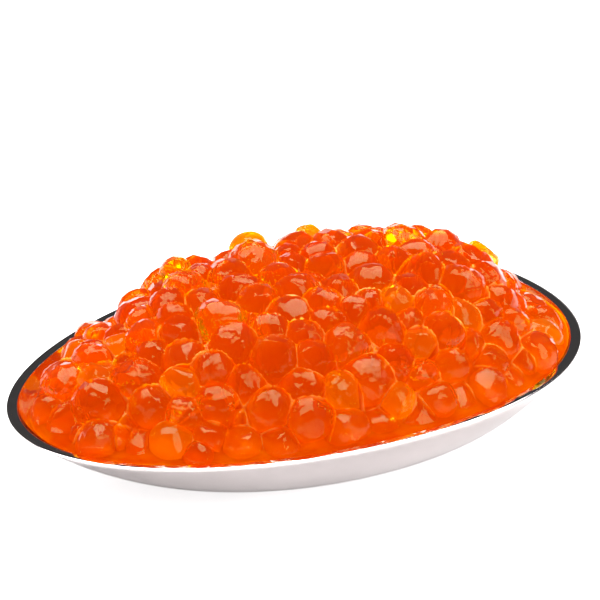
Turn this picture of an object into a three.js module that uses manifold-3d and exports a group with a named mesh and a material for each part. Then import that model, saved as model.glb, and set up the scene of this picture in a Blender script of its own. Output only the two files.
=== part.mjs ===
// A small oval metal dish heaped with smoked trout roe.
// Millimetres, +Z up. The origin is on the table, under the middle of the rim.
// +X runs along the dish to its wider end, and -Y is the front of the heap.
import * as THREE from 'three';
import { mergeVertices } from 'three/addons/utils/BufferGeometryUtils.js';
import Module from 'manifold-3d';

const wasm = await Module();
wasm.setup();

// The dish
const dish = {
  halfLength: 36,
  halfWidth: 24.6,
  roundness: 2.1, // exponent of the oval outline: 2 is an ellipse, more is fuller
  widening: 0.13, // share by which the outline is wider at the +X end than in the middle
  depth: 11, // height of the rim above the table
  wall: 1.25, // width of the flat lip, and thickness of the foot
  edge: 0.3, // rounding of the lip's outer edge
  innerEdge: 0.15, // bevel of the lip's inner edge
  footShare: 0.36, // size of the flat foot, as a share of the rim's outline
  footShift: 8, // how far the middle of the foot lies towards +X
  steepness: 2.07, // exponent of the wall's curve from foot to rim
  segments: 60,
  outerSteps: 7,
  innerSteps: 7,
  edgeSteps: 3,
  stepCurve: 0.8, // exponent that brings the wall's rings closer together towards the rim
};

// The outline of the heap, over the tops of its eggs
const heap = {
  clearance: 0.4, // gap between roe and metal, measured level
  height: 10.8, // rise of the crest above the level at the wall
  crown: 3.3, // exponent of the rise: more is a flatter top and a steeper side
  shoulder: 1.1, // exponent that eases the side into the wall
  shiftX: 2.6, // how far the crest lies towards +X
  frontLevel: 1, // level at the front wall, above the rim
  endLevel: 0, // level at the two ends
  backLevel: -2.2, // level at the back wall
  steepest: 1.6, // slope beyond which eggs are no longer pushed sideways
  fade: 6, // a local rise fades out over the outermost 1/6 of the way to the wall
  slopeStep: 0.2, // distance over which slopes are measured
};

// How the share of the way out is found, by steps that halve the error
const search = { start: 0.7, passes: 8, least: 0.05, most: 3 };

// Local rises and dips of the heap: place, reach and height. A dip goes on to the wall.
const swells = [
  { x: -8.5, y: 13, reach: 5.5, rise: 1.4 },
  { x: 2.5, y: 14, reach: 4, rise: 0.8 },
  { x: 22, y: 4.5, reach: 4.5, rise: 0.3 },
  { x: 32.5, y: -3, reach: 5, rise: -2.6 },
  { x: 29, y: -9.5, reach: 4.2, rise: -1.5 },
];

// Eggs that stand out on the heap: place, height of the middle above the rim, and radius
const standing = [
  { x: -24.3, y: -11.4, up: 0.6, radius: 2.4 },
  { x: -22.4, y: 11.6, up: 1.2, radius: 2.1 },
  { x: -26.1, y: 0.9, up: 3.4, radius: 2.3 },
  { x: -24.2, y: -7.1, up: 3.6, radius: 2.2 },
  { x: -18.5, y: -11.7, up: 4.3, radius: 2 },
  { x: -17, y: 5.9, up: 6.9, radius: 1.8 },
  { x: -15.2, y: 2, up: 8.3, radius: 1.8 },
  { x: -8.3, y: 12.3, up: 8.3, radius: 1.7 },
  { x: -1.2, y: 11.2, up: 7.5, radius: 2.2 },
  { x: 2.4, y: 13, up: 8.3, radius: 2 },
  { x: 10.2, y: 11, up: 8.2, radius: 1.9 },
  { x: 13.1, y: 9.4, up: 7.3, radius: 2 },
  { x: 17.1, y: 7.4, up: 7.1, radius: 2.3 },
  { x: 22.7, y: 6.1, up: 6.7, radius: 2 },
  { x: 23.2, y: 2.5, up: 7, radius: 2.2 },
  { x: 26.6, y: -0.7, up: 6, radius: 2 },
  { x: 20.8, y: -14.2, up: 3.5, radius: 2.2 },
  { x: 26.7, y: -13.2, up: 0.6, radius: 2 },
  { x: -13.5, y: -15, up: 3.1, radius: 2.5 },
  { x: -5.7, y: -17, up: 4, radius: 2.2 },
  { x: 5.1, y: -20.6, up: 1.4, radius: 2 },
  { x: 8.9, y: -17.6, up: 3.5, radius: 2.1 },
  { x: -2.3, y: -13.3, up: 7.2, radius: 2.4 },
  { x: -7, y: -13.4, up: 6.8, radius: 2.1 },
  { x: 8.3, y: -1.3, up: 9.3, radius: 2.2 },
  { x: 6.8, y: -10.2, up: 9.3, radius: 1.8 },
  { x: -20.9, y: -13.8, up: 1.6, radius: 1.6 },
  { x: -18.1, y: -16, up: 0.5, radius: 2 },
  { x: -14.2, y: -17.6, up: 0.4, radius: 2 },
  { x: -28.9, y: -7.4, up: 0.9, radius: 1.5 },
  { x: -30.6, y: -4.1, up: 0.4, radius: 1.7 },
  { x: -20.3, y: -7.4, up: 5.2, radius: 2.1 },
  { x: 2, y: -16.5, up: 5.3, radius: 2 },
  { x: 14.5, y: -18.2, up: 2.4, radius: 2 },
  { x: 19, y: -18.3, up: 1.1, radius: 1.7 },
  { x: 6.3, y: -15.6, up: 6.1, radius: 1.9 },
  { x: 0.2, y: -19.5, up: 2.3, radius: 1.9 },
  { x: -21.4, y: 3.9, up: 5.3, radius: 1.9 },
  { x: -20.3, y: -1.9, up: 6.4, radius: 1.9 },
  { x: 14, y: -13.3, up: 6.3, radius: 2.1 },
  { x: 24.4, y: -9.5, up: 3.5, radius: 1.8 },
  { x: 1.4, y: -9.2, up: 8.8, radius: 1.9 },
];

// All other eggs, and how they are packed
const eggs = {
  draws: 400, // places drawn, of which those that fit are kept
  smallest: 2,
  largest: 2.8,
  sizeCurve: 0.95, // exponent of the draw of sizes: more gives more small eggs
  spread: 0.985, // share of the heap's outline that the first places fill
  crowd: 1.9, // most eggs over a level place on a steep side, for one on a level top
  proud: 0.2, // how far eggs stand out of the heap's outline, in radii, at most
  sunk: 0.5, // how far eggs lie under it, in radii, at most
  firstPress: 1.08, // neighbours push each other off up to this share of their two radii
  press: 0.93, // and settle at this one
  apart: 0.6, // no egg starts nearer to a standing one than this share of their radii
  wallGap: 0.35, // gap between an egg and the metal
  wallPush: 1.2, // how strongly the metal pushes an egg off, against its neighbours
  seed: 0.16,
  settleSteps: 160,
  settleRate: 0.3,
};

// Steps of the seeded sequences: their multiples spread evenly between whole numbers
const steps = {
  share: 0.7548776662466927,
  angle: 0.5698402909980532,
  size: 0.6180339887498949,
  sink: 0.4142135623730951,
  chance: 0.2360679774997898,
};

// The heap as one faceted solid
const core = {
  under: 1.6, // how far the core lies under the heap's outline at the crest
  frontLevel: -0.5, // level of the core at the front wall, above the rim
  endLevel: -0.6,
  backLevel: -2.9,
  segments: 32,
  wallSteps: 3,
  topSteps: 7,
  eggSides: 7,
  eggBands: 4,
  eggSwell: 1.025, // an egg with few sides is drawn this much larger, to keep its size
  tolerance: 0.12, // facets are merged where the surface stays within this
  weld: 0.01, // corners nearer than this are made one
};

const paint = {
  metal: new THREE.MeshStandardMaterial({ color: 0xd9d4d4, roughness: 0.18, metalness: 1 }),
  roe: new THREE.MeshStandardMaterial({ color: 0xf04a00, roughness: 0.12, metalness: 0 }),
};

// A point of the oval outline at an angle, for an outline that lies an inset inside the rim's
function outlinePoint(angle, inset) {
  const power = 2 / dish.roundness;
  const c = Math.cos(angle);
  const s = Math.sin(angle);
  const along = Math.sign(c) * Math.abs(c) ** power;
  const across = Math.sign(s) * Math.abs(s) ** power;
  return {
    x: (dish.halfLength - inset) * along,
    y: (dish.halfWidth - inset) * across * (1 + dish.widening * along),
  };
}

// How far out a place lies: 0 at the middle, 1 on the outline. Smaller outlines move by the shift.
function outlineShare(x, y, inset, shift) {
  const halfLength = dish.halfLength - inset;
  const halfWidth = dish.halfWidth - inset;
  let share = search.start;
  for (let pass = 0; pass < search.passes; pass++) {
    const fromMiddle = x - shift * (1 - share);
    const stretch = fromMiddle / (Math.max(share, search.least) * halfLength);
    const along = Math.max(-1, Math.min(1, stretch));
    const across = y / (halfWidth * (1 + dish.widening * along));
    const sum = Math.abs(fromMiddle / halfLength) ** dish.roundness
      + Math.abs(across) ** dish.roundness;
    share = 0.5 * (share + Math.min(sum ** (1 / dish.roundness), search.most));
  }
  return share;
}

// Height of a bowl's surface at a share of the way out, flat over its foot
function bowlHeight(share, inset) {
  const climb = Math.max(0, (share - dish.footShare) / (1 - dish.footShare));
  return inset + (dish.depth - inset) * climb ** dish.steepness;
}

// A level that runs from the front wall over the ends to the back wall
function wallLevel(y, levels) {
  const back = Math.max(-1, Math.min(1, y / dish.halfWidth));
  const tilt = 0.5 * (levels.backLevel - levels.frontLevel);
  const bend = 0.5 * (levels.backLevel + levels.frontLevel) - levels.endLevel;
  return dish.depth + levels.endLevel + tilt * back + bend * back * back;
}

// Height of the heap's outline over a place
function heapHeight(x, y) {
  const share = Math.min(1, outlineShare(x, y, dish.wall + heap.clearance, heap.shiftX));
  let height = wallLevel(y, heap) + heap.height * (1 - share ** heap.crown) ** heap.shoulder;
  for (const swell of swells) {
    const away = ((x - swell.x) ** 2 + (y - swell.y) ** 2) / swell.reach ** 2;
    const fade = swell.rise > 0 ? Math.min(1, (1 - share) * heap.fade) : 1;
    height += swell.rise * Math.exp(-away) * fade;
  }
  return height;
}

// Upward direction square to a surface that is given by its height over a place
function upwardNormal(heightOver, x, y, steepest) {
  const step = heap.slopeStep;
  const slopeX = (heightOver(x + step, y) - heightOver(x - step, y)) / (2 * step);
  const slopeY = (heightOver(x, y + step) - heightOver(x, y - step)) / (2 * step);
  const ease = Math.min(1, steepest / Math.max(1e-6, Math.hypot(slopeX, slopeY)));
  return new THREE.Vector3(-slopeX * ease, -slopeY * ease, 1).normalize();
}

// Height of the bowl's inner surface over a place, carried on upward beyond the rim
function innerHeight(x, y) {
  return bowlHeight(outlineShare(x, y, dish.wall, dish.footShift), dish.wall);
}

function fraction(value) {
  return value - Math.floor(value);
}

// First places and sizes of the eggs: an even spread from a seeded sequence
function firstEggs() {
  const placed = standing.map((mark) => ({
    middle: new THREE.Vector3(mark.x, mark.y, dish.depth + mark.up),
    radius: mark.radius,
    depth: 1,
    fixed: true,
  }));
  for (let i = 0; i < eggs.draws; i++) {
    const share = eggs.spread * Math.sqrt(fraction(eggs.seed + i * steps.share));
    const angle = 2 * Math.PI * fraction(eggs.seed + i * steps.angle);
    const size = fraction(eggs.seed + i * steps.size) ** eggs.sizeCurve;
    const sink = fraction(eggs.seed + i * steps.sink) ** 2;
    const chance = fraction(eggs.seed + i * steps.chance);
    const edge = outlinePoint(angle, dish.wall + heap.clearance);
    const radius = eggs.smallest + (eggs.largest - eggs.smallest) * size;
    const x = heap.shiftX * (1 - share) + edge.x * share;
    const y = edge.y * share;
    if (chance * eggs.crowd * upwardNormal(heapHeight, x, y, heap.steepest).z > 1) continue;
    const middle = new THREE.Vector3(x, y, heapHeight(x, y) - radius);
    const clear = placed.slice(0, standing.length).every(
      (other) => middle.distanceTo(other.middle) > eggs.apart * (radius + other.radius),
    );
    if (!clear) continue;
    placed.push({ middle, radius, depth: 1 - eggs.proud + (eggs.proud + eggs.sunk) * sink });
  }
  return placed;
}

// Moves the eggs until they lie side by side under the heap's outline, clear of the metal
function settledEggs() {
  const placed = firstEggs();
  for (let step = 0; step < eggs.settleSteps; step++) {
    const done = step / (eggs.settleSteps - 1);
    const press = eggs.firstPress + (eggs.press - eggs.firstPress) * done;
    const moves = placed.map(() => new THREE.Vector3());
    for (let i = 0; i < placed.length; i++) {
      for (let j = i + 1; j < placed.length; j++) {
        const apart = placed[i].middle.clone().sub(placed[j].middle);
        const distance = Math.max(apart.length(), 1e-6);
        const overlap = press * (placed[i].radius + placed[j].radius) - distance;
        if (overlap <= 0) continue;
        moves[i].addScaledVector(apart, (0.5 * overlap) / distance);
        moves[j].addScaledVector(apart, (-0.5 * overlap) / distance);
      }
    }
    placed.forEach((one, i) => {
      if (one.fixed) return;
      const { x, y, z } = one.middle;
      const out = upwardNormal(heapHeight, x, y, heap.steepest);
      const below = (heapHeight(x, y) - z) * out.z - one.depth * one.radius;
      moves[i].addScaledVector(out, 0.5 * below);
      const inward = upwardNormal(innerHeight, x, y, Infinity);
      const clear = (z - innerHeight(x, y)) * inward.z;
      const short = Math.max(0, one.radius + eggs.wallGap - clear);
      moves[i].addScaledVector(inward, eggs.wallPush * short);
      one.middle.addScaledVector(moves[i], 2 * eggs.settleRate);
    });
  }
  return placed;
}

// A closed mesh as a solid, with corners that lie together made one
function toSolid(geometry, weld = 1e-4) {
  const bare = geometry.clone();
  bare.deleteAttribute('normal');
  bare.deleteAttribute('uv');
  const merged = mergeVertices(bare, weld);
  const corners = merged.index.array;
  const triangles = [];
  for (let i = 0; i < corners.length; i += 3) {
    const [a, b, c] = [corners[i], corners[i + 1], corners[i + 2]];
    if (a !== b && b !== c && c !== a) triangles.push(a, b, c);
  }
  return new wasm.Manifold(new wasm.Mesh({
    numProp: 3,
    vertProperties: new Float32Array(merged.attributes.position.array),
    triVerts: new Uint32Array(triangles),
  }));
}

// A solid as a geometry
function toGeometry(solid) {
  const { vertProperties, triVerts } = solid.getMesh();
  const geometry = new THREE.BufferGeometry();
  geometry.setAttribute('position', new THREE.BufferAttribute(vertProperties, 3));
  geometry.setIndex(new THREE.BufferAttribute(triVerts, 1));
  geometry.computeVertexNormals();
  return geometry;
}

// The largest body of a solid, without loose scraps or sealed hollows
function largestBody(solid) {
  return solid.decompose().reduce((a, b) => (b.volume() > a.volume() ? b : a));
}

// A closed oval solid from rings, in order along its profile from the middle below to the
// middle above. Each ring has its share of an inset outline, the shift, and its height.
function ovalSolid(rings, segments) {
  const profile = rings.map((ring, order) => new THREE.Vector2(ring.share, order));
  const lathe = new THREE.LatheGeometry(profile, segments);
  const position = lathe.attributes.position;
  for (let i = 0; i < position.count; i++) {
    const ring = rings[i % rings.length];
    const turn = (Math.floor(i / rings.length) % segments) / segments;
    const edge = outlinePoint(turn * 2 * Math.PI, ring.inset);
    const x = ring.shift * (1 - ring.share) + edge.x * ring.share;
    const y = edge.y * ring.share;
    position.setXYZ(i, x, y, ring.height(x, y));
  }
  return toSolid(lathe);
}

// Rings of a bowl's curve, from the middle of its foot out to a height under the rim
function bowlRings(inset, steps, below) {
  const squash = (dish.depth - below - inset) / (dish.depth - inset);
  const ring = (share) => ({
    share,
    inset,
    shift: dish.footShift,
    height: () => inset + (bowlHeight(share, inset) - inset) * squash,
  });
  const rings = [ring(0)];
  for (let i = 0; i <= steps; i++) {
    rings.push(ring(dish.footShare + (1 - dish.footShare) * (i / steps) ** dish.stepCurve));
  }
  return rings;
}

// The dish: outer wall, rounded lip and inner wall
function makeDish() {
  const lip = [];
  for (let i = 1; i <= dish.edgeSteps; i++) {
    const turn = (i / dish.edgeSteps) * Math.PI / 2;
    lip.push({
      share: 1,
      inset: dish.edge * (1 - Math.cos(turn)),
      shift: 0,
      height: () => dish.depth - dish.edge * (1 - Math.sin(turn)),
    });
  }
  lip.push({ share: 1, inset: dish.wall - dish.innerEdge, shift: 0, height: () => dish.depth });
  const outer = bowlRings(0, dish.outerSteps, dish.edge);
  const inner = bowlRings(dish.wall, dish.innerSteps, dish.innerEdge).reverse();
  return ovalSolid([...outer, ...lip, ...inner], dish.segments);
}

// The bare core of the heap: the mound under the eggs, cut to the bowl it fills
function makeCore() {
  const inset = dish.wall + heap.clearance;
  const level = (share, height) => ({ share, inset, shift: heap.shiftX, height: () => height });
  const above = dish.depth + 2 * heap.height;
  const cavity = [...bowlRings(inset, core.wallSteps, 0), level(1, above), level(0, above)];
  const mound = [level(0, 0), level(1, 0)];
  for (let i = 0; i <= core.topSteps; i++) {
    mound.push({
      ...level(Math.sin((1 - i / core.topSteps) * Math.PI / 2), 0),
      height: (x, y) => {
        const rise = heapHeight(x, y) - wallLevel(y, heap);
        return wallLevel(y, core) + rise * (1 - core.under / heap.height);
      },
    });
  }
  return ovalSolid(cavity, core.segments).intersect(ovalSolid(mound, core.segments));
}

// One egg with few sides, its pole turned out of the heap
function makeEgg(one) {
  const sphere = new THREE.SphereGeometry(one.radius * core.eggSwell, core.eggSides, core.eggBands);
  const out = upwardNormal(heapHeight, one.middle.x, one.middle.y, heap.steepest);
  sphere.applyQuaternion(new THREE.Quaternion().setFromUnitVectors(new THREE.Vector3(0, 1, 0), out));
  sphere.translate(one.middle.x, one.middle.y, one.middle.z);
  return toSolid(sphere);
}

// The heap: core and eggs in one
function makeRoe() {
  const pieces = settledEggs().map(makeEgg);
  const fused = wasm.Manifold.union([makeCore(), ...pieces]);
  const simple = largestBody(fused.asOriginal().simplify(core.tolerance));
  return largestBody(toSolid(toGeometry(simple), core.weld));
}

function named(name, solid, material) {
  const mesh = new THREE.Mesh(toGeometry(solid), material);
  mesh.name = name;
  return mesh;
}

const bowl = new THREE.Group();
bowl.add(named('dish', makeDish(), paint.metal));
bowl.add(named('roe', makeRoe(), paint.roe));

export default bowl;
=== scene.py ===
import math

import bpy
import numpy as np
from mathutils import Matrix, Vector


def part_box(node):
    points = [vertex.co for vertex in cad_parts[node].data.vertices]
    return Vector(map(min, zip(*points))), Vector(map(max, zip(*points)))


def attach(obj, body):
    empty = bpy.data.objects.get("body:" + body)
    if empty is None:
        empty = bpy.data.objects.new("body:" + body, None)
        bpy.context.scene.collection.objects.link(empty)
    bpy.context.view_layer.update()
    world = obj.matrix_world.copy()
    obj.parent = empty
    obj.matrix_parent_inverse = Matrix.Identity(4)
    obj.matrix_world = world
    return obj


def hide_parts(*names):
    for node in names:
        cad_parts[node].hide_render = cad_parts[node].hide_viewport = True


# Bowl of smoked trout roe: a polished oval dish heaped with translucent eggs.
# Shapes are worked out in millimetres and put into the meshes in metres.

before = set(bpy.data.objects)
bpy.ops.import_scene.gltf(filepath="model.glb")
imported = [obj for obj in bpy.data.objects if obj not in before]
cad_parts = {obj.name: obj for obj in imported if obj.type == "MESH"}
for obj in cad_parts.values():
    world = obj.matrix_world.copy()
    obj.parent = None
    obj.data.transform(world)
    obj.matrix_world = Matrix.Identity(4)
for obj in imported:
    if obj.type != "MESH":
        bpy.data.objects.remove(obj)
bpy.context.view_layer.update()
scene = bpy.context.scene
mm = 0.001
tiny = 1e-6       # keeps divisions away from 0
touching = 1e-3   # a distance under this, in millimetres, is an egg's to itself,
farAway = 1e3     # and is set to this, so that it presses on nothing

dishLow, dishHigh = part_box("dish")
dish = {
    "halfLength": (dishHigh.x - dishLow.x) / 2 / mm,
    "halfWidth": 24.6,
    "roundness": 2.1,      # exponent of the oval outline
    "widening": 0.13,      # the outline is wider by this share at the +X end
    "depth": dishHigh.z / mm,
    "wall": 1.25,          # width of the flat lip
    "edge": 0.07,          # rounding of the lip's outer edge
    "innerEdge": 0.1,      # rounding of the lip's inner edge
    "footShare": 0.36,     # size of the flat foot, as a share of the outline
    "footShift": 8.0,      # the foot lies this far towards +X
    "steepness": 2.07,     # exponent of the wall's curve
}

# steps that find how far out a point lies, as a share of the outline
shareSteps = {
    "count": 8,
    "start": 0.7,
    "least": 0.05,         # smallest share that a step divides by
    "most": 3.0,           # largest that it gives
}

heap = {
    "clearance": 0.4,      # level gap between roe and metal
    "height": 10.8,        # rise of the crest above the level at the wall
    "crown": 3.3,          # exponent of the rise, more is a flatter top
    "shoulder": 1.1,       # exponent that eases the side into the wall
    "shiftX": 2.6,         # the crest lies this far towards +X
    "frontLevel": 1.0,     # levels at the wall, above the rim
    "endLevel": 0.0,
    "backLevel": -2.2,
    "swellFade": 6.0,      # how fast the swells fade out towards the wall
    "slopeStep": 0.2,      # distance over which a slope is measured
    "steepest": 1.6,       # steepest slope that turns an egg's outward direction
}

# local rises and dips of the heap: x, y, reach, rise. A dip reaches the wall.
swells = [
    (-8.5, 13.0, 5.5, 1.4),
    (2.5, 14.0, 4.0, 0.8),
    (22.0, 4.5, 4.5, 0.3),
    (32.5, -3.0, 5.0, -2.6),
    (29.0, -9.5, 4.2, -1.5),
]

# eggs that stand out on the heap: x, y, height of the middle above the rim, radius
standing = np.array([
    (-24.3, -11.4, 0.6, 2.4),
    (-22.4, 11.6, 1.2, 2.1),
    (-26.1, 0.9, 3.4, 2.3),
    (-24.2, -7.1, 3.6, 2.2),
    (-18.5, -11.7, 4.3, 2.0),
    (-17.0, 5.9, 6.9, 1.8),
    (-15.2, 2.0, 8.3, 1.8),
    (-8.3, 12.3, 8.3, 1.7),
    (-1.2, 11.2, 7.5, 2.2),
    (2.4, 13.0, 8.3, 2.0),
    (10.2, 11.0, 8.2, 1.9),
    (13.1, 9.4, 7.3, 2.0),
    (17.1, 7.4, 7.1, 2.3),
    (22.7, 6.1, 6.7, 2.0),
    (23.2, 2.5, 7.0, 2.2),
    (26.6, -0.7, 6.0, 2.0),
    (20.8, -14.2, 3.5, 2.2),
    (26.7, -13.2, 0.6, 2.0),
    (-13.5, -15.0, 3.1, 2.5),
    (-5.7, -17.0, 4.0, 2.2),
    (5.1, -20.6, 1.4, 2.0),
    (8.9, -17.6, 3.5, 2.1),
    (-2.3, -13.3, 7.2, 2.4),
    (-7.0, -13.4, 6.8, 2.1),
    (8.3, -1.3, 9.3, 2.2),
    (6.8, -10.2, 9.3, 1.8),
    (-20.9, -13.8, 1.6, 1.6),
    (-18.1, -16.0, 0.5, 2.0),
    (-14.2, -17.6, 0.4, 2.0),
    (-28.9, -7.4, 0.9, 1.5),
    (-30.6, -4.1, 0.4, 1.7),
    (-20.3, -7.4, 5.2, 2.1),
    (2.0, -16.5, 5.3, 2.0),
    (14.5, -18.2, 2.4, 2.0),
    (19.0, -18.3, 1.1, 1.7),
    (6.3, -15.6, 6.1, 1.9),
    (0.2, -19.5, 2.3, 1.9),
    (-21.4, 3.9, 5.3, 1.9),
    (-20.3, -1.9, 6.4, 1.9),
    (14.0, -13.3, 6.3, 2.1),
    (24.4, -9.5, 3.5, 1.8),
    (1.4, -9.2, 8.8, 1.9),
])

eggs = {
    "draws": 400,          # places drawn, of which those that fit are kept
    "smallest": 2.0,
    "largest": 2.8,
    "sizeCurve": 0.95,     # exponent of the draw of sizes
    "sinkCurve": 2,        # and of the draw of how deep they lie
    "spread": 0.985,       # share of the outline that the first places fill
    "crowd": 1.9,          # most eggs on a steep side, for one on a level top
    "proud": 0.2,          # how far eggs stand out or lie sunk, in radii
    "sunk": 0.5,
    "firstPress": 1.08,    # neighbours push off up to this share of their radii
    "press": 0.93,         # and settle at this one
    "apart": 0.6,          # nearest start to a standing egg, in radii
    "wallGap": 0.35,       # gap between an egg and the metal
    "seed": 0.16,
    "settleSteps": 160,
    "settleRate": 0.6,     # share of each step's moves that is made
    "pairPush": 0.5,       # moves of an egg: its part of an overlap with a neighbour,
    "outlinePull": 0.5,    # its part of the way to its depth under the heap's outline,
    "metalPush": 1.2,      # and a bit more than the way off the metal
}

# steps of the evenly spreading sequences, one for each thing that is drawn
sequence = {
    "share": 0.7548776662466927,
    "angle": 0.5698402909980532,
    "size": 0.6180339887498949,
    "sink": 0.4142135623730951,
    "chance": 0.2360679774997898,
}


# what is left of a number without its whole part
def fraction(value):
    return value - np.floor(value)


# outline: a superellipse whose half width grows along x
def outlinePoint(angle, inset):
    power = 2 / dish["roundness"]
    along = np.sign(np.cos(angle)) * np.abs(np.cos(angle)) ** power
    across = np.sign(np.sin(angle)) * np.abs(np.sin(angle)) ** power
    x = (dish["halfLength"] - inset) * along
    y = (dish["halfWidth"] - inset) * across * (1 + dish["widening"] * along)
    return x, y


# share of the way out, 0 at the middle and 1 on the outline, by halving steps:
# smaller outlines slide by shift towards +X
def outlineShare(x, y, inset, shift):
    halfLength = dish["halfLength"] - inset
    halfWidth = dish["halfWidth"] - inset
    power = dish["roundness"]
    share = np.full(np.shape(x), shareSteps["start"])
    for step in range(shareSteps["count"]):
        fromMiddle = x - shift * (1 - share)
        along = fromMiddle / (np.maximum(share, shareSteps["least"]) * halfLength)
        across = y / (halfWidth * (1 + dish["widening"] * np.clip(along, -1, 1)))
        total = np.abs(fromMiddle / halfLength) ** power + np.abs(across) ** power
        share = 0.5 * (share + np.minimum(total ** (1 / power), shareSteps["most"]))
    return share


# bowl: flat over the foot, then a power curve up to the rim
def bowlHeight(share, inset):
    climb = np.maximum(0, (share - dish["footShare"]) / (1 - dish["footShare"]))
    return inset + (dish["depth"] - inset) * climb ** dish["steepness"]


# level at the wall: a parabola through the front, end and back levels
def wallLevel(y, front, end, back):
    towardsBack = np.clip(y / dish["halfWidth"], -1, 1)
    tilt = 0.5 * (back - front)
    bend = 0.5 * (back + front) - end
    return dish["depth"] + end + tilt * towardsBack + bend * towardsBack * towardsBack


# outline of the heap: level at the wall, a flattened dome and local swells
def heapHeight(x, y):
    share = np.minimum(1, outlineShare(x, y, dish["wall"] + heap["clearance"], heap["shiftX"]))
    height = wallLevel(y, heap["frontLevel"], heap["endLevel"], heap["backLevel"])
    height = height + heap["height"] * (1 - share ** heap["crown"]) ** heap["shoulder"]
    for swellX, swellY, reach, rise in swells:
        away = ((x - swellX) ** 2 + (y - swellY) ** 2) / reach ** 2
        fade = np.minimum(1, (1 - share) * heap["swellFade"]) if rise > 0 else 1
        height = height + rise * np.exp(-away) * fade
    return height


# inside of the bowl: the bowl's curve, one wall thickness further in
def innerHeight(x, y):
    return bowlHeight(outlineShare(x, y, dish["wall"], dish["footShift"]), dish["wall"])


# upward direction square to a height field, by central differences
def upwardNormal(heightOver, x, y, steepest):
    step = heap["slopeStep"]
    slopeX = (heightOver(x + step, y) - heightOver(x - step, y)) / (2 * step)
    slopeY = (heightOver(x, y + step) - heightOver(x, y - step)) / (2 * step)
    ease = np.minimum(1, steepest / np.maximum(tiny, np.hypot(slopeX, slopeY)))
    normal = np.stack([-slopeX * ease, -slopeY * ease, np.ones_like(slopeX)], -1)
    return normal / np.linalg.norm(normal, axis=-1, keepdims=True)


# eggs pushed apart pair by pair, held under the heap's outline and off the metal
def settle(middles, radii, depths, isFixed, firstPress, press, steps):
    for step in range(steps):
        pressNow = firstPress + (press - firstPress) * step / (steps - 1)
        apart = middles[:, None] - middles[None]
        distance = np.maximum(np.linalg.norm(apart, axis=-1), tiny)
        overlap = np.maximum(0, pressNow * (radii[:, None] + radii[None]) - distance)
        np.fill_diagonal(overlap, 0)
        moves = (apart * (eggs["pairPush"] * overlap / distance)[..., None]).sum(1)
        x, y, z = middles.T
        out = upwardNormal(heapHeight, x, y, heap["steepest"])
        below = (heapHeight(x, y) - z) * out[:, 2] - depths * radii
        moves += out * (eggs["outlinePull"] * below)[:, None]
        inward = upwardNormal(innerHeight, x, y, np.inf)
        clear = (z - innerHeight(x, y)) * inward[:, 2]
        short = np.maximum(0, radii + eggs["wallGap"] - clear)
        moves += inward * (eggs["metalPush"] * short)[:, None]
        middles = middles + eggs["settleRate"] * moves * (~isFixed)[:, None]
    return middles


# even spread over the oval from a seed: places, radii, and draws from 0 to 1 of how deep
# an egg lies and whether it is kept. Even over the area, as the share is a square root.
def drawPlaces(kind):
    def drawn(what):
        return fraction(kind["seed"] + np.arange(kind["draws"]) * sequence[what])

    share = kind["spread"] * np.sqrt(drawn("share"))
    size = drawn("size") ** kind["sizeCurve"]
    edgeX, edgeY = outlinePoint(2 * np.pi * drawn("angle"), dish["wall"] + heap["clearance"])
    x = heap["shiftX"] * (1 - share) + edgeX * share
    radii = kind["smallest"] + (kind["largest"] - kind["smallest"]) * size
    return x, edgeY * share, radii, drawn("sink"), drawn("chance")


# outer eggs: the standing ones and an even spread around them, thinned on the level top
def drawEggs():
    x, y, radii, sink, chance = drawPlaces(eggs)
    middles = np.stack([x, y, heapHeight(x, y) - radii], -1)
    depths = 1 - eggs["proud"] + (eggs["proud"] + eggs["sunk"]) * sink ** eggs["sinkCurve"]
    fixed = np.stack([standing[:, 0], standing[:, 1], dish["depth"] + standing[:, 2]], -1)
    distance = np.linalg.norm(middles[:, None] - fixed[None], axis=-1)
    isClear = (distance > eggs["apart"] * (radii[:, None] + standing[None, :, 3])).all(1)
    upright = upwardNormal(heapHeight, x, y, heap["steepest"])[:, 2]
    kept = isClear & (chance * eggs["crowd"] * upright <= 1)
    middles = np.vstack([fixed, middles[kept]])
    radii = np.r_[standing[:, 3], radii[kept]]
    depths = np.r_[np.ones(len(standing)), depths[kept]]
    isFixed = np.arange(len(radii)) < len(standing)
    settled = settle(
        middles, radii, depths, isFixed, eggs["firstPress"], eggs["press"], eggs["settleSteps"],
    )
    return settled, radii


# eggs that fill the gaps left on the surface
fillEggs = {
    "spacing": 0.7,        # of the grid of places that are tried
    "depth": 1.7,          # of the places under the heap's outline
    "lift": 0.7,           # places by the wall lie higher by as much as this,
    "liftFrom": 0.85,      # which begins at this share of the way out
    "liftReach": 0.1,      # and is full this much further out
    "press": 0.8,          # neighbours take this share of their radii
    "wallPress": 0.6,
    "smallest": 1.45,
    "largest": 2.2,
    "most": 90,
}


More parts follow.
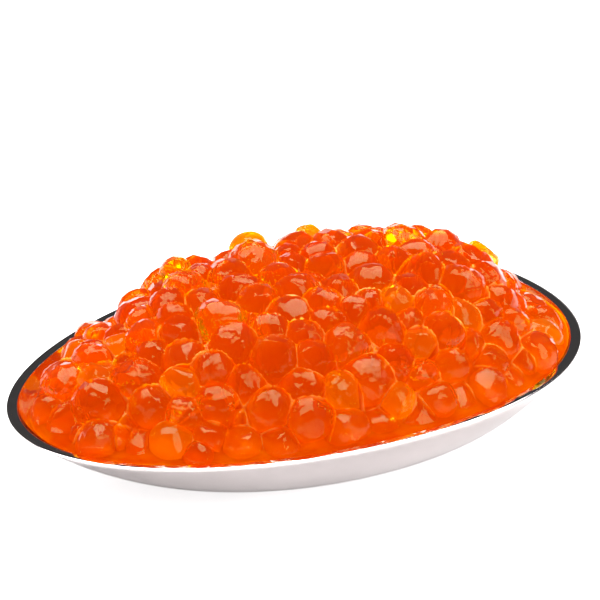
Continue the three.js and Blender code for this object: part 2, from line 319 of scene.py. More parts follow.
# the place with the most room gets an egg, again and again, until no place has room
def drawFillEggs(outer, outerRadii):
    x, y = [c.ravel() for c in np.meshgrid(
        np.arange(-dish["halfLength"], dish["halfLength"], fillEggs["spacing"]),
        np.arange(-dish["halfWidth"], dish["halfWidth"], fillEggs["spacing"]),
    )]
    inside = outlineShare(x, y, dish["wall"] + heap["clearance"], 0.0) < 1
    x, y = x[inside], y[inside]
    out = upwardNormal(heapHeight, x, y, heap["steepest"])
    share = outlineShare(x, y, dish["wall"], 0.0)
    lifted = np.clip((share - fillEggs["liftFrom"]) / fillEggs["liftReach"], 0, 1)
    depth = fillEggs["depth"] - fillEggs["lift"] * lifted
    places = np.stack([x, y, heapHeight(x, y)], -1) - out * depth[:, None]
    inward = upwardNormal(innerHeight, places[:, 0], places[:, 1], np.inf)
    overMetal = (places[:, 2] - innerHeight(places[:, 0], places[:, 1])) * inward[:, 2]
    room = overMetal / fillEggs["wallPress"]
    for middle, radius in zip(outer, outerRadii):
        room = np.minimum(room, np.linalg.norm(places - middle, axis=1) - fillEggs["press"] * radius)
    middles, radii = [], []
    while len(radii) < fillEggs["most"] and room.max() > fillEggs["smallest"]:
        best = room.argmax()
        radii.append(min(room[best], fillEggs["largest"]))
        middles.append(places[best])
        away = np.linalg.norm(places - places[best], axis=1)
        room = np.minimum(room, away - fillEggs["press"] * radii[-1])
    return np.array(middles).reshape(-1, 3), np.array(radii)


# eggs between and under the outer ones
deepEggs = {
    "draws": 330,
    "smallest": 1.7,
    "largest": 2.4,
    "sizeCurve": 1.0,
    "spread": 0.93,        # share of the outline that they fill
    "depth": (1.9, 2.9),   # of their middles under the heap's outline, in radii
    "seed": 0.31,
    "firstPress": 0.8,
    "press": 0.9,
    "steps": 60,
    "room": 0.8,           # least height of a middle over the metal, in radii
}


# the same even spread from another start, sunk deeper, and pushed about with the outer eggs
# held still. Those that end up against the metal are left out.
def drawDeepEggs(outer, outerRadii):
    x, y, radii, sink, chance = drawPlaces(deepEggs)
    shallow, deep = deepEggs["depth"]
    depths = shallow + (deep - shallow) * sink
    out = upwardNormal(heapHeight, x, y, heap["steepest"])
    middles = np.stack([x, y, heapHeight(x, y)], -1) - out * (depths * radii)[:, None]
    kept = chance * eggs["crowd"] * out[:, 2] <= 1
    middles = np.vstack([outer, middles[kept]])
    radii = np.r_[outerRadii, radii[kept]]
    depths = np.r_[np.ones(len(outer)), depths[kept]]
    isFixed = np.arange(len(radii)) < len(outer)
    settled = settle(
        middles, radii, depths, isFixed, deepEggs["firstPress"], deepEggs["press"], deepEggs["steps"],
    )
    overMetal = settled[:, 2] - innerHeight(settled[:, 0], settled[:, 1])
    chosen = ~isFixed & (overMetal > deepEggs["room"] * radii)
    return settled[chosen], radii[chosen]


# a mesh object from points in millimetres, faces of four corners and, where given, of three
def meshPiece(name, points, quads, material, tris=None):
    mesh = bpy.data.meshes.new(name)
    faces = quads.tolist() + ([] if tris is None else tris.tolist())
    mesh.from_pydata((points * mm).tolist(), [], faces)
    mesh.materials.append(material)
    mesh.shade_smooth()
    piece = bpy.data.objects.new(name, mesh)
    scene.collection.objects.link(piece)
    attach(piece, "root")
    return piece


# one number for each point of a mesh, which its material can read by name
def pointValues(piece, name, values):
    attribute = piece.data.attributes.new(name, "FLOAT", "POINT")
    attribute.data.foreach_set("value", values.astype(np.float32))


# quads between neighbouring points of a grid of point numbers
def gridQuads(index):
    return np.stack([index[:-1, :-1], index[1:, :-1], index[1:, 1:], index[:-1, 1:]], -1).reshape(-1, 4)


# cube sphere: each side of a cube is a grid, warped by the tangent and put on the unit sphere.
# Points that two sides share are merged after rounding.
def eggTemplate(divisions):
    digits = 6
    line = np.tan(np.linspace(-1, 1, divisions + 1) * np.pi / 4)
    a, b = np.meshgrid(line, line, indexing="ij")
    square = gridQuads(np.arange(a.size).reshape(a.shape))
    points, quads = [], []
    for axis in range(3):
        for side in (-1, 1):
            sheet = np.zeros(a.shape + (3,))
            sheet[..., axis] = side
            sheet[..., (axis + 1) % 3] = a
            sheet[..., (axis + 2) % 3] = b
            order = square if side > 0 else square[:, ::-1]
            quads.append(order + len(points) * a.size)
            points.append(sheet.reshape(-1, 3))
    points = np.vstack(points)
    points /= np.linalg.norm(points, axis=1, keepdims=True)
    unique, inverse = np.unique(np.round(points, digits), axis=0, return_inverse=True)
    return unique, inverse.reshape(-1)[np.vstack(quads)]


# joined eggs: unit directions times a wavy radius, with a few flatter places, then each point
# is held back to the plane halfway into every neighbour that it would enter
def eggPoints(middles, radii, directions, others, otherRadii, shape, seed):
    draw = np.random.default_rng(seed)
    count = len(middles)
    waves = draw.normal(0, shape["waveTurns"], (count, 3, 3))
    phases = draw.uniform(0, 2 * np.pi, (count, 1, 3))
    wavy = np.sin(directions[None] @ waves + phases).mean(-1)
    reach = radii[:, None] * (1 + shape["waveHeight"] * wavy)
    points = directions[None] * reach[..., None]
    for k in range(shape["facets"]):
        facing = draw.normal(0, 1, (count, 3))
        facing /= np.linalg.norm(facing, axis=1, keepdims=True)
        plane = radii[:, None] * draw.uniform(*shape["facetReach"], (count, 1))
        soft = shape["facetSoftness"] * radii[:, None]
        beyond = (points * facing[:, None]).sum(-1) - plane
        points = points - facing[:, None] * (soft * np.logaddexp(0, beyond / soft))[..., None]
    apart = others[None] - middles[:, None]
    distance = np.linalg.norm(apart, axis=-1)
    distance[distance < touching] = farAway
    nearest = np.argsort(distance - otherRadii[None], axis=1)[:, :shape["neighbours"]]
    for k in range(shape["neighbours"]):
        j = nearest[:, k]
        gap = distance[np.arange(count), j]
        towards = apart[np.arange(count), j] / gap[:, None]
        plane = (gap ** 2 + radii ** 2 - otherRadii[j] ** 2) / (2 * gap) - shape["seam"]
        beyond = (points * towards[:, None]).sum(-1) - plane[:, None]
        soft = shape["softness"] * radii[:, None]
        push = np.where(gap[:, None] < farAway, soft * np.logaddexp(0, beyond / soft), 0)
        points = points - towards[:, None] * push[..., None]
    return holdInside(points + middles[:, None], shape["wallGap"])


rimHold = {
    "from": 0.75,          # share of the way out from which points are looked at
    "lipBand": 0.5,        # points above this depth under the rim go back level
}


# points nearer to the bowl's inner wall than a gap go back inwards, square to the wall,
# and those by the lip go back level, towards the middle of the rim
def holdInside(points, gap):
    flat = points.reshape(-1, 3).copy()
    share = outlineShare(flat[:, 0], flat[:, 1], dish["wall"], dish["footShift"])
    near = np.where(share > rimHold["from"])[0]
    x, y, z = flat[near].T
    inward = upwardNormal(innerHeight, x, y, np.inf)
    short = np.maximum(0, gap - (z - innerHeight(x, y)) * inward[:, 2])
    flat[near] += inward * short[:, None]
    x, y, z = flat[near].T
    share = outlineShare(x, y, dish["wall"] + gap, 0.0)
    back = np.where(z > dish["depth"] - rimHold["lipBand"], 1 / np.maximum(share, 1), 1)
    flat[near, :2] *= back[:, None]
    return flat.reshape(points.shape)


# a material with a Principled shader; values go to its sockets by name
def newMaterial(name, **values):
    material = bpy.data.materials.new(name)
    material.use_nodes = True
    shader = material.node_tree.nodes["Principled BSDF"]
    for socket, value in values.items():
        shader.inputs[socket.replace("_", " ")].default_value = value
    return material, shader


# a node; each value goes to its property of that name, or else to its socket
def addNode(material, kind, **values):
    node = material.node_tree.nodes.new(kind)
    for name, value in values.items():
        if hasattr(node, name):
            setattr(node, name, value)
        else:
            node.inputs[name.replace("_", " ")].default_value = value
    return node


# a wire from one node's output to another's socket
def link(material, source, target):
    material.node_tree.links.new(source, target)


# arithmetic on numbers and on other nodes' outputs
def mathNode(material, operation, *values):
    node = addNode(material, "ShaderNodeMath", operation=operation)
    for socket, value in zip(node.inputs, values):
        if isinstance(value, (int, float)):
            socket.default_value = value
        else:
            link(material, value, socket)
    return node.outputs[0]


# a value between two edges goes to 0 up to a top, evenly or as a smooth step
def rangeNode(material, source, start, end, top=1.0, kind="LINEAR"):
    node = addNode(
        material, "ShaderNodeMapRange", interpolation_type=kind, From_Min=start, From_Max=end, To_Max=top,
    )
    link(material, source, node.inputs["Value"])
    return node.outputs["Result"]


# noise on Object coordinates, its size given in millimetres
def grain(material, size, detail=2.0, distortion=0.0):
    place = addNode(material, "ShaderNodeTexCoord")
    noise = addNode(
        material, "ShaderNodeTexNoise", Scale=1 / (size * mm), Detail=detail, Distortion=distortion,
    )
    link(material, place.outputs["Object"], noise.inputs["Vector"])
    return noise.outputs["Fac"]


# colours blended along a value, from one stop to the next
def ramp(material, source, stops):
    node = addNode(material, "ShaderNodeValToRGB")
    elements = node.color_ramp.elements
    while len(elements) < len(stops):
        elements.new(0.5)
    for element, (position, colour) in zip(elements, stops):
        element.position = position
        element.color = (*colour, 1)
    link(material, source, node.inputs["Fac"])
    return node.outputs["Color"]


# relief: a value from 0 to 1 raises the surface by up to a height in millimetres
def bump(material, shader, source, height):
    node = addNode(material, "ShaderNodeBump", Distance=height * mm)
    link(material, source, node.inputs["Height"])
    link(material, node.outputs["Normal"], shader.inputs["Normal"])


# flat places with creases between them: the squared distance to the nearest of scattered points
# bends the surface hollow around each point, which takes back part of an egg's own curve
def facets(material, size):
    place = addNode(material, "ShaderNodeTexCoord")
    cells = addNode(material, "ShaderNodeTexVoronoi", Scale=1 / (size * mm))
    link(material, place.outputs["Object"], cells.inputs["Vector"])
    return mathNode(material, "MULTIPLY", cells.outputs["Distance"], cells.outputs["Distance"])


# skin of the eggs: sizes in millimetres
skin = {
    "cloud": 1.6,               # cloudy patches inside
    "cloudDetail": 1.0,
    "cloudShare": 0.35,         # their part in the tint, beside the egg's own tone
    "stops": (0.1, 0.6, 1.15),  # places of the dark, middle and light tint
    "waves": 1.8,               # gentle waves
    "waveHeight": 0.1,
    "flats": 2.3,               # flat places with creases between them
    "creases": 1.1,             # and finer ones,
    "creaseHeight": 0.5,
    "patches": 5.0,             # in patches only
    "patchEdges": (0.53, 0.62),
    "relief": 0.62,
    # wet surface: its reflections lose most of the red, so that they stay pale on orange
    "gloss": {
        "Roughness": 0.02, "IOR": 1.3, "Transmission_Weight": 1.0,
        "Specular_IOR_Level": 1.0, "Specular_Tint": (0.1, 1.0, 0.43, 1),
    },
}


# skin: clear jelly, its tint different from egg to egg, with a glow that stands for the light
# scattered inside, and a relief of waves, flat places and patches of finer creases
def roeMaterial(name, tints, glow, strength):
    material, shader = newMaterial(
        name, **skin["gloss"], Emission_Color=(*glow, 1), Emission_Strength=strength,
    )
    tone = addNode(material, "ShaderNodeAttribute", attribute_name="tone")
    cloud = grain(material, skin["cloud"], skin["cloudDetail"])
    blend = mathNode(material, "MULTIPLY_ADD", cloud, skin["cloudShare"], tone.outputs["Fac"])
    colour = ramp(material, blend, list(zip(skin["stops"], tints)))
    link(material, colour, shader.inputs["Base Color"])
    waves = mathNode(
        material, "MULTIPLY_ADD",
        grain(material, skin["waves"]), skin["waveHeight"], facets(material, skin["flats"]),
    )
    patches = rangeNode(
        material, grain(material, skin["patches"]), *skin["patchEdges"], skin["creaseHeight"],
    )
    relief = mathNode(material, "MULTIPLY_ADD", facets(material, skin["creases"]), patches, waves)
    bump(material, shader, relief, skin["relief"])
    return material


roeSkin = roeMaterial(
    "roeSkin", [(1.0, 0.78, 0.0), (1.0, 0.87, 0.0), (1.0, 0.94, 0.0)], (1.0, 0.17, 0.0), 0.095,
)
amberSkin = roeMaterial(
    "amberSkin", [(1.0, 0.75, 0.02), (1.0, 0.8, 0.04), (1.0, 0.86, 0.06)], (1.0, 0.45, 0.0), 0.2,
)
warmSkin = roeMaterial(
    "warmSkin", [(1.0, 0.77, 0.01), (1.0, 0.84, 0.02), (1.0, 0.9, 0.03)], (1.0, 0.33, 0.0), 0.16,
)

# gel: a deep red-orange with a painted glow that stands for the light scattered inside it, and a painted
# highlight, a paler tint, along the tops of the thin walls. Sizes in millimetres.
gelLook = {
    "patches": 4.0,
    "patchDetail": 3.0,
    "tints": [(0.35, (0.22, 0.02, 0.0)), (0.65, (0.26, 0.055, 0.0))],
    # painted highlight: the pale tint that the wall tops take in place of a reflection
    "wallHighlight": (0.28, 0.15, 0.03, 1),
    "strands": 2.2,        # the painted highlight on the walls lies in strands only
    "strandEdges": (0.42, 0.6),
    "ripples": 2.5,
    "rippleDetail": 2.0,
    "relief": 0.15,
}
# painted glow: the emission gives the gel a steady red-orange light of its own, standing for light scattered
# inside it
gel, gelShader = newMaterial(
    "gel", Roughness=0.3, IOR=1.3, Specular_IOR_Level=0.0,
    Emission_Color=(1.0, 0.055, 0.0, 1), Emission_Strength=0.5,
    Subsurface_Weight=0.8, Subsurface_Radius=(1.0, 0.3, 0.08), Subsurface_Scale=3.0 * mm,
)
gelTint = ramp(gel, grain(gel, gelLook["patches"], gelLook["patchDetail"]), gelLook["tints"])
# painted highlight along the wall tops: where the crest value and the strands meet, the gel's colour turns to
# the pale highlight tint
gelHighlightStrands = rangeNode(gel, grain(gel, gelLook["strands"]), *gelLook["strandEdges"])
gelHighlightCrest = addNode(gel, "ShaderNodeAttribute", attribute_name="crest")
gelHighlightBlend = addNode(gel, "ShaderNodeMix", data_type="RGBA")
gelHighlightFrom, gelHighlightTo = gelHighlightBlend.inputs[6], gelHighlightBlend.inputs[7]    # its two colours
link(gel, mathNode(gel, "MULTIPLY", gelHighlightCrest.outputs["Fac"], gelHighlightStrands), gelHighlightBlend.inputs["Factor"])
link(gel, gelTint, gelHighlightFrom)
gelHighlightTo.default_value = gelLook["wallHighlight"]
link(gel, gelHighlightBlend.outputs[2], gelShader.inputs["Base Color"])
bump(gel, gelShader, grain(gel, gelLook["ripples"], gelLook["rippleDetail"]), gelLook["relief"])

# metal: polished, with faint clouds of colour and fine scuffs. Sizes in millimetres.
metalLook = {
    "clouds": 9.0,
    "cloudDetail": 4.0,
    "tints": [(0.3, (0.80, 0.735, 0.73)), (0.7, (0.88, 0.81, 0.805))],
    "scuffs": 0.7,
    "scuffDetail": 6.0,
    "scuffTwist": 1.5,
    "roughness": [(0.35, (0.06,) * 3), (0.75, (0.16,) * 3)],
    "waves": 14.0,
    "relief": 0.08,
}
metal, metalShader = newMaterial("polishedMetal", Metallic=1.0, Roughness=0.1)
metalTint = ramp(metal, grain(metal, metalLook["clouds"], metalLook["cloudDetail"]), metalLook["tints"])
link(metal, metalTint, metalShader.inputs["Base Color"])
scuffs = grain(metal, metalLook["scuffs"], metalLook["scuffDetail"], metalLook["scuffTwist"])
link(metal, ramp(metal, scuffs, metalLook["roughness"]), metalShader.inputs["Roughness"])
bump(metal, metalShader, grain(metal, metalLook["waves"]), metalLook["relief"])

eggShape = {
    "divisions": 4,        # squares along each side of the cube that the egg is made from
    "waveHeight": 0.12,    # unevenness of an egg, as a share of its radius
    "waveTurns": 1.5,
    "neighbours": 14,      # nearest neighbours that can flatten an egg
    "seam": 0.03,          # half the gap between two eggs that touch
    "softness": 0.03,      # rounding of a flattened side's edge, in radii
    "facets": 5,           # flatter places on an egg, how near they lie and how soft they are
    "facetReach": (0.8, 1.0),
    "facetSoftness": 0.07,
    "wallGap": 0.06,       # between an egg and the metal
}
amberShape = {**eggShape, "divisions": 8, "facets": 8, "facetReach": (0.7, 0.95), "facetSoftness": 0.03}
slackShape = {
    **eggShape, "divisions": 9, "waveHeight": 0.22, "waveTurns": 4.0,
    "facets": 10, "facetReach": (0.6, 0.95), "facetSoftness": 0.02,
}
deepShape = {**eggShape, "divisions": 3}

softEggs = {
    "swell": 1.27,         # how far the eggs swell into each other
    "sinkShare": 0.85,     # part of the swelling by which they sink
    "toneSeed": 11,
    "toneCurve": 1.5,      # exponent of the draw of tones, more is more dark ones
}


# eggs of one kind as one mesh: the template's points and faces again for each egg,
# with the tone of each egg kept on its points
def eggPiece(name, chosen, material, shape, seed):
    directions, quads = eggTemplate(shape["divisions"])
    points = eggPoints(allEggs[chosen], allRadii[chosen], directions, allEggs, allRadii, shape, seed)
    starts = np.arange(len(chosen))[:, None, None] * len(directions)
    piece = meshPiece(name, points.reshape(-1, 3), (quads[None] + starts).reshape(-1, 4), material)
    pointValues(piece, "tone", np.repeat(tones[chosen], len(directions)))
    return piece


# soft eggs press into each other: each is drawn larger and set deeper by the same amount
outerEggs, outerRadii = drawEggs()
gapEggs, gapRadii = drawFillEggs(outerEggs, outerRadii)
outerEggs, outerRadii = np.vstack([outerEggs, gapEggs]), np.r_[outerRadii, gapRadii]
lowerEggs, lowerRadii = drawDeepEggs(outerEggs, outerRadii)
allEggs = np.vstack([outerEggs, lowerEggs])
allRadii = np.r_[outerRadii, lowerRadii]
outward = upwardNormal(heapHeight, allEggs[:, 0], allEggs[:, 1], heap["steepest"])
sinking = allRadii * (softEggs["swell"] - 1) * softEggs["sinkShare"]
allEggs = allEggs - outward * sinking[:, None]
allRadii = allRadii * softEggs["swell"]
toneDraw = np.random.default_rng(softEggs["toneSeed"])
tones = toneDraw.uniform(0, 1, len(allEggs)) ** softEggs["toneCurve"]
outerCount = len(outerEggs)
print("eggs settled:", outerCount, "outer,", len(gapEggs), "of them in gaps,", len(lowerEggs), "deeper")

# numbers of the outer eggs that differ from the rest
amber = np.array([1, 9, 10, 15, 17])              # paler and clearer
wrinkled = np.array([2, 25, 35])                  # with a slack skin
warm = np.array([0, 19, 31, 36, 37, 39, 87])      # a little paler
plain = np.setdiff1d(np.arange(outerCount), np.r_[amber, wrinkled, warm])
deeper = np.arange(outerCount, len(allEggs))
roeOuter = eggPiece("roeOuter", plain, roeSkin, eggShape, 5)
roeAmber = eggPiece("roeAmber", amber, amberSkin, amberShape, 7)
roeSlack = eggPiece("roeSlack", wrinkled, warmSkin, slackShape, 8)
roeWarm = eggPiece("roeWarm", warm, warmSkin, amberShape, 9)
roeDeeper = eggPiece("roeDeeper", deeper, roeSkin, deepShape, 6)
print("eggs made")

# gel between the eggs: a low mound with walls that rise between neighbouring eggs
gelFill = {
    "under": 3.7,          # how far the mound lies under the heap's outline at the crest
    "frontLevel": -0.5,    # levels at the wall, above the rim
    "endLevel": -0.6,
    "backLevel": -3.4,
    "dip": 1.1,            # the mound lies this much lower just inside the wall,
    "dipRight": 0.3,       # less at the right of the front,
    "dipReach": 0.08,      # and comes down over this share of the way in
    "rightFrom": 4.0,      # the front's right begins at this x
    "rightReach": 8.0,     # and is full this much further
    "gap": 0.02,           # between gel and metal
    "thinnest": 0.05,      # least thickness over the metal
    "capShare": 0.8,       # an egg counts as round up to this share of its radius
    "below": 0.15,         # the walls end this far under the groove between two eggs
    "steep": 2.2,          # how fast they fall off to both sides
    "round": 0.12,         # rounding of their tops
    "crest": 0.35,         # the painted highlight on their tops reaches this far down both sides
    "crestHeight": 0.6,    # walls lower than this carry less of the painted highlight
    "rim": 0.02,           # share of the way in over which the walls fade out at the rim
    "columns": 330,
    "rows": 220,
    "wallRings": 7,
    "batch": 4000,         # points worked out at a time
}


# height of each egg over places on the mound, along its outward direction: a circle's height
# near the egg's axis, and the circle's tangent further out
def eggReach(places, outward, middles, radii):
    apart = middles[None] - places[:, None]
    along = (apart * outward[:, None]).sum(-1)
    share = np.sqrt(np.maximum((apart ** 2).sum(-1) - along ** 2, 0)) / radii
    end = gelFill["capShare"]
    endHeight = math.sqrt(1 - end ** 2)
    tangent = endHeight - (share - end) * end / endHeight
    cap = np.where(share < end, np.sqrt(np.maximum(1 - share ** 2, 0)), tangent)
    return along + radii * cap


# gel walls: the mean of the two highest eggs, falling off steeply where they differ.
# The crest, which places the painted highlight on the walls, is 1 where the two are level and fades as they
# come apart.
def gelWalls(places, outward):
    heights, crest = np.empty((2, len(places)))
    for start in range(0, len(places), gelFill["batch"]):
        part = slice(start, start + gelFill["batch"])
        reach = np.sort(eggReach(places[part], outward[part], allEggs, allRadii), axis=1)
        first, second = reach[:, -1], reach[:, -2]
        away = np.hypot(gelFill["round"], first - second) - gelFill["round"]
        heights[part] = 0.5 * (first + second) - gelFill["steep"] * away
        crest[part] = np.exp(-((first - second) / gelFill["crest"]) ** 2)
    return heights - gelFill["below"], crest


# gel: a square grid bent into a disc and put on the oval; on each ray from the middle it ends
# where the bowl's wall reaches the gel's level, and rings along the bowl's curve close it below
def makeGel():
    inset = dish["wall"] + gelFill["gap"]
    u = np.linspace(-1, 1, gelFill["columns"] + 1)[:, None]
    v = np.linspace(-1, 1, gelFill["rows"] + 1)[None]
    discX, discY = u * np.sqrt(1 - v * v / 2), v * np.sqrt(1 - u * u / 2)
    out = np.minimum(np.hypot(discX, discY), 1)
    edgeX, edgeY = outlinePoint(np.arctan2(discY, discX), inset)
    levels = gelFill["frontLevel"], gelFill["endLevel"], gelFill["backLevel"]
    climb = ((wallLevel(edgeY, *levels) - inset) / (dish["depth"] - inset)) ** (1 / dish["steepness"])
    meet = dish["footShare"] + (1 - dish["footShare"]) * climb

    def bowlPoint(part):
        share = meet * part
        x, y = dish["footShift"] * (1 - share) + edgeX * share, edgeY * share
        return x, y, bowlHeight(share, inset)

    # the mound: the heap's own rise, flatter, with a dip along the wall
    x, y, floorHeight = bowlPoint(out)
    rise = heapHeight(x, y) - wallLevel(y, heap["frontLevel"], heap["endLevel"], heap["backLevel"])
    fade = np.minimum(1, (1 - out) / gelFill["rim"])
    z = wallLevel(y, *levels) + np.maximum(rise, 0) * (1 - gelFill["under"] / heap["height"]) * fade
    towardsRight = np.clip((x - gelFill["rightFrom"]) / gelFill["rightReach"], 0, 1) * (y < 0)
    dip = gelFill["dip"] + (gelFill["dipRight"] - gelFill["dip"]) * towardsRight
    z = z - dip * (1 - np.exp(-((1 - out) / gelFill["dipReach"]) ** 2))
    places = np.stack([x, y, np.maximum(z, floorHeight + gelFill["thinnest"])], -1).reshape(-1, 3)

    # the walls on it, and the crest that places the painted highlight on them
    outward = upwardNormal(heapHeight, places[:, 0], places[:, 1], heap["steepest"])
    walls, crest = gelWalls(places, outward)
    walls = np.maximum(walls, 0) * fade.reshape(-1)
    crest = crest * np.clip(walls / gelFill["crestHeight"], 0, 1)
    top = places + outward * walls[:, None]

    # the underside: from the border of the grid in rings to a point on the foot
    index = np.arange(len(top)).reshape(x.shape)
    border = np.r_[index[:-1, 0], index[-1, :-1], index[:0:-1, -1], index[0, :0:-1]]
    count = len(border)
    following = (np.arange(count) + 1) % count
    points, quads = [top], [gridQuads(index)]
    previous, made = border, len(top)
    for ringOut in np.linspace(1, 0, gelFill["wallRings"] + 1)[1:-1]:
        ring = made + np.arange(count)
        points.append(np.stack(bowlPoint(ringOut), -1).reshape(-1, 3)[border])
        quads.append(np.stack([previous, ring, ring[following], previous[following]], -1))
        previous = ring
        made += count
    points.append(np.array([[dish["footShift"], 0, inset]]))
    tris = np.stack([previous, np.full(count, made), previous[following]], -1)
    points = np.vstack(points)
    piece = meshPiece("roeGel", points, np.vstack(quads), gel, tris)
    # the crest goes on the points, where the gel's material reads it to place the painted highlight
    pointValues(piece, "crest", np.r_[crest, np.zeros(len(points) - len(crest))])
    return piece


roeGel = makeGel()
print("gel made")

# dish: the outline carried along a profile of foot, wall and lip
surface = {
    "columns": 240,
    "wallRings": 26,
    "wallSpacing": 0.8,    # exponent of the rings' spacing, less is closer at the rim
    "footRing": 0.5,       # place of the ring on the foot, as a share of the foot
    "lipRings": 8,
    "lipDrop": 0.04,       # the lip curves down this far from its inner to its outer edge
    "lipTurn": 36.0,       # its shading turns outward by up to this, in degrees, along the front
    "lipTurnCurve": 3.0,   # exponent of the turn, from the inner to the outer edge
    "lipTurnMiddle": 0.5,  # the turn is half at the dish's ends
}


# profile: (share, inset, shift, height) from the middle of the foot up the outer wall,
# over the lip in a quarter round, a gentle slope and another quarter round, and down the inner wall
def dishProfile():
    climb = np.linspace(0, 1, surface["wallRings"]) ** surface["wallSpacing"]
    foot = dish["footShare"]
    shares = np.r_[0, foot * surface["footRing"], foot + (1 - foot) * climb]

    def wall(inset, below):
        squash = (dish["depth"] - below - inset) / (dish["depth"] - inset)
        height = inset + (bowlHeight(shares, inset) - inset) * squash
        flat = np.ones_like(shares)
        return np.stack([shares, flat * inset, flat * dish["footShift"], height], -1)

    turn = np.linspace(0, np.pi / 2, surface["lipRings"])[1:]
    edge, innerEdge, drop = dish["edge"], dish["innerEdge"], surface["lipDrop"]
    outerRound = np.stack([
        turn * 0 + 1, edge * (1 - np.cos(turn)), turn * 0, dish["depth"] - drop - edge * (1 - np.sin(turn)),
    ], -1)
    across = np.linspace(edge, dish["wall"] - innerEdge, surface["lipRings"])[1:]
    place = (across - edge) / (dish["wall"] - innerEdge - edge)
    slope = np.stack([across * 0 + 1, across, across * 0, dish["depth"] - drop * (1 - place) ** 2], -1)
    innerRound = np.stack([
        turn * 0 + 1, dish["wall"] - innerEdge * (1 - np.sin(turn)), turn * 0,
        dish["depth"] - innerEdge * (1 - np.cos(turn)),
    ], -1)[:-1]
    outerWall, innerWall = wall(0, edge + drop), wall(dish["wall"], innerEdge)[::-1]
    return np.vstack([outerWall, outerRound, slope, innerRound, innerWall])


# each point of the profile gives a ring: the inset outline times its share, slid by its shift.
# The first and the last ring are single points, closed by fans of triangles.
def makeDish():
    profile = dishProfile()
    count = surface["columns"]
    angle = np.linspace(0, 2 * np.pi, count, endpoint=False)
    share, inset, shift, height = profile.T[:, :, None]
    edgeX, edgeY = outlinePoint(angle[None], inset)
    x = shift * (1 - share) + edgeX * share
    y = edgeY * share
    rings = np.stack([x, y, height + 0 * x], -1)
    points = np.vstack([rings[0, :1], rings[1:-1].reshape(-1, 3), rings[-1, :1]])
    column = np.arange(count)
    following = (column + 1) % count
    ring = np.arange(len(rings) - 3)[:, None] * count + 1
    quads = np.stack([ring + column, ring + following, ring + count + following, ring + count + column], -1)
    last = len(points) - 1
    tris = np.vstack([
        np.stack([np.zeros(count, int), 1 + following, 1 + column], -1),
        np.stack([np.full(count, last), last - count + column, last - count + following], -1),
    ])
    piece = meshPiece("dishShell", points, quads.reshape(-1, 4), metal, tris)
    turnLip(piece.data, len(profile), count)
    return piece


# shading of the lip: its normals lean outward, less towards the inner edge, as on a worn lip,
# and the outer round is shaded like the wall below it. Full along the front, none along the back.
def turnLip(mesh, rings, count):
    normals = np.empty(len(mesh.vertices) * 3)
    mesh.vertices.foreach_get("normal", normals)
    normals = normals.reshape(-1, 3)
    ring = normals[1:-1].reshape(rings - 2, count, 3)
    wallTop = surface["wallRings"]
    roundRings = surface["lipRings"] - 1
    outward = ring[wallTop] * (1, 1, 0)
    outward /= np.linalg.norm(outward, axis=1, keepdims=True)
    front = np.clip(surface["lipTurnMiddle"] - outward[:, 1:2], 0, 1)
    wallNormal = ring[wallTop].copy()
    inwards = np.linspace(0, 1, roundRings + 1)
    across = math.radians(surface["lipTurn"]) * (1 - inwards) ** surface["lipTurnCurve"]
    for k in range(1, 2 * roundRings + 1):
        turn = across[max(k - roundRings, 0)]
        leaning = outward * np.sin(turn) + np.array([0, 0, np.cos(turn)])
        leaning = wallNormal if k < roundRings else leaning
        mixed = ring[wallTop + k] * (1 - front) + leaning * front
        ring[wallTop + k] = mixed / np.linalg.norm(mixed, axis=1, keepdims=True)
    mesh.normals_split_custom_set_from_vertices(normals.tolist())


dishShell = makeDish()
print("dish made")

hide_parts("dish")
for piece in (roeOuter, roeAmber, roeSlack, roeWarm, roeDeeper, roeGel):
    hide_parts("roe")

view = {
    "azimuth": -34.8,
    "elevation": 26.0,
    "distance": 0.324,
    "lens": 167.3,
    "sensor": 36.0,
    "aimUp": 6.5 * mm,     # the aim lies this far above and beside the middle of the rim
    "aimSide": 0.6 * mm,
}
azimuth, elevation = math.radians(view["azimuth"]), math.radians(view["elevation"])
back = Vector((
    math.cos(elevation) * math.sin(azimuth), -math.cos(elevation) * math.cos(azimuth), math.sin(elevation),
))
side = Vector((math.cos(azimuth), math.sin(azimuth), 0))
up = back.cross(side)
rimMiddle = Vector((0, 0, dishHigh.z))
cameraData = bpy.data.cameras.new("camera")
cameraData.lens = view["lens"]
cameraData.sensor_width = view["sensor"]
camera = bpy.data.objects.new("camera", cameraData)
scene.collection.objects.link(camera)
aim = rimMiddle + up * view["aimUp"] + side * view["aimSide"]
camera.location = rimMiddle + back * view["distance"]
camera.rotation_euler = (camera.location - aim).to_track_quat("Z", "Y").to_euler()
scene.camera = camera

# softboxes: direction from the middle of the rim, distance and size in metres, power in watts
softboxes = {
    "topSoftbox": {"direction": (0.12, 0.26, 0.95), "distance": 0.8, "size": (1.15, 0.54), "power": 14.3},
    "sideSoftbox": {"direction": (0.3, -0.79, 0.51), "distance": 0.8, "size": (0.48, 0.64), "power": 5.3},
}


# a rectangle of light that faces the middle of the rim
def addSoftbox(name, box):
    data = bpy.data.lights.new(name, "AREA")
    data.shape = "RECTANGLE"
    data.size, data.size_y = box["size"]
    data.energy = box["power"]
    light = bpy.data.objects.new(name, data)
    scene.collection.objects.link(light)
    direction = Vector(box["direction"]).normalized()
    light.location = rimMiddle + direction * box["distance"]
    light.rotation_euler = direction.to_track_quat("Z", "Y").to_euler()
    light.visible_camera = False


for name, box in softboxes.items():
    addSoftbox(name, box)

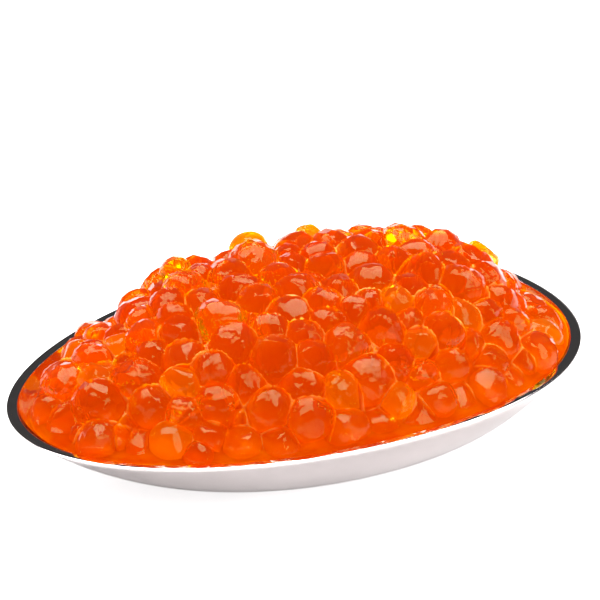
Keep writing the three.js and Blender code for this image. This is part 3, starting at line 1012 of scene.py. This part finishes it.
# surroundings: a dark room with pale panels: turn and rise of their middles and half sizes,
# in degrees from straight behind the object, and their brightness
room = {
    "dark": 0.05,
    "soft": 1.5,
    "panels": [
        (0.0, 64.0, 32.0, 14.0, 0.95),
        (0.0, 1.0, 60.0, 6.0, 0.25),
        (75.0, 42.0, 20.0, 12.0, 0.25),
        (-85.0, 46.0, 20.0, 12.0, 0.2),
        (180.0, 26.0, 70.0, 30.0, 0.06),
        (-180.0, 26.0, 70.0, 30.0, 0.06),
    ],
}


# 1 within a half size of a middle and 0 beyond it, with a soft edge
def band(world, angle, middle, half):
    away = mathNode(world, "ABSOLUTE", mathNode(world, "SUBTRACT", angle, middle))
    return rangeNode(world, away, half + room["soft"], half - room["soft"], kind="SMOOTHSTEP")


# the panels are rectangles in turn and rise, which come from the parts of a direction along the
# side, the far and the upward axis; what the camera sees is white
def makeRoom():
    world = bpy.data.worlds.new("room")
    world.use_nodes = True
    place = addNode(world, "ShaderNodeTexCoord")
    parts = []
    for axis in (side, Vector((-back.x, -back.y, 0)).normalized(), Vector((0, 0, 1))):
        dot = addNode(world, "ShaderNodeVectorMath", operation="DOT_PRODUCT")
        link(world, place.outputs["Generated"], dot.inputs[0])
        dot.inputs[1].default_value = axis
        parts.append(dot.outputs["Value"])
    turn = mathNode(world, "MULTIPLY", mathNode(world, "ARCTAN2", parts[0], parts[1]), math.degrees(1))
    rise = mathNode(world, "MULTIPLY", mathNode(world, "ARCSINE", parts[2]), math.degrees(1))
    light = room["dark"]
    for panelTurn, panelRise, halfWide, halfHigh, brightness in room["panels"]:
        inside = mathNode(
            world, "MULTIPLY", band(world, turn, panelTurn, halfWide), band(world, rise, panelRise, halfHigh),
        )
        light = mathNode(world, "MAXIMUM", light, mathNode(world, "MULTIPLY", inside, brightness))
    seen = addNode(world, "ShaderNodeLightPath")
    light = mathNode(world, "MAXIMUM", light, seen.outputs["Is Camera Ray"])
    background = world.node_tree.nodes["Background"]
    link(world, light, background.inputs["Color"])
    background.inputs["Strength"].default_value = 1.0
    return world


scene.world = makeRoom()
scene.view_settings.view_transform = "Standard"
scene.cycles.max_bounces = 24
scene.cycles.transmission_bounces = 16

paper = {
    "halfSize": 3.0,       # in metres
    "drop": 0.0001,        # it lies this far under the foot
    "glow": 0.1,
    "glowSeen": 0.6,       # more of it towards the camera
    "grain": 30.0,
    "tints": [(0.3, (0.86,) * 3), (0.7, (0.9,) * 3)],
}
floorMaterial, floorShader = newMaterial("floorPaper", Roughness=0.8, Emission_Color=(1, 1, 1, 1))
floorSeen = addNode(floorMaterial, "ShaderNodeLightPath")
floorGlow = mathNode(
    floorMaterial, "MULTIPLY_ADD", floorSeen.outputs["Is Camera Ray"], paper["glowSeen"], paper["glow"],
)
link(floorMaterial, floorGlow, floorShader.inputs["Emission Strength"])
floorTint = ramp(floorMaterial, grain(floorMaterial, paper["grain"]), paper["tints"])
link(floorMaterial, floorTint, floorShader.inputs["Base Color"])
floorMesh = bpy.data.meshes.new("floor")
half = paper["halfSize"]
floorCorners = [(-half, -half, 0), (half, -half, 0), (half, half, 0), (-half, half, 0)]
floorMesh.from_pydata(floorCorners, [], [(0, 1, 2, 3)])
floorMesh.materials.append(floorMaterial)
floor = bpy.data.objects.new("floor", floorMesh)
floor.location.z = -paper["drop"]
scene.collection.objects.link(floor)
print("camera, light and floor set")
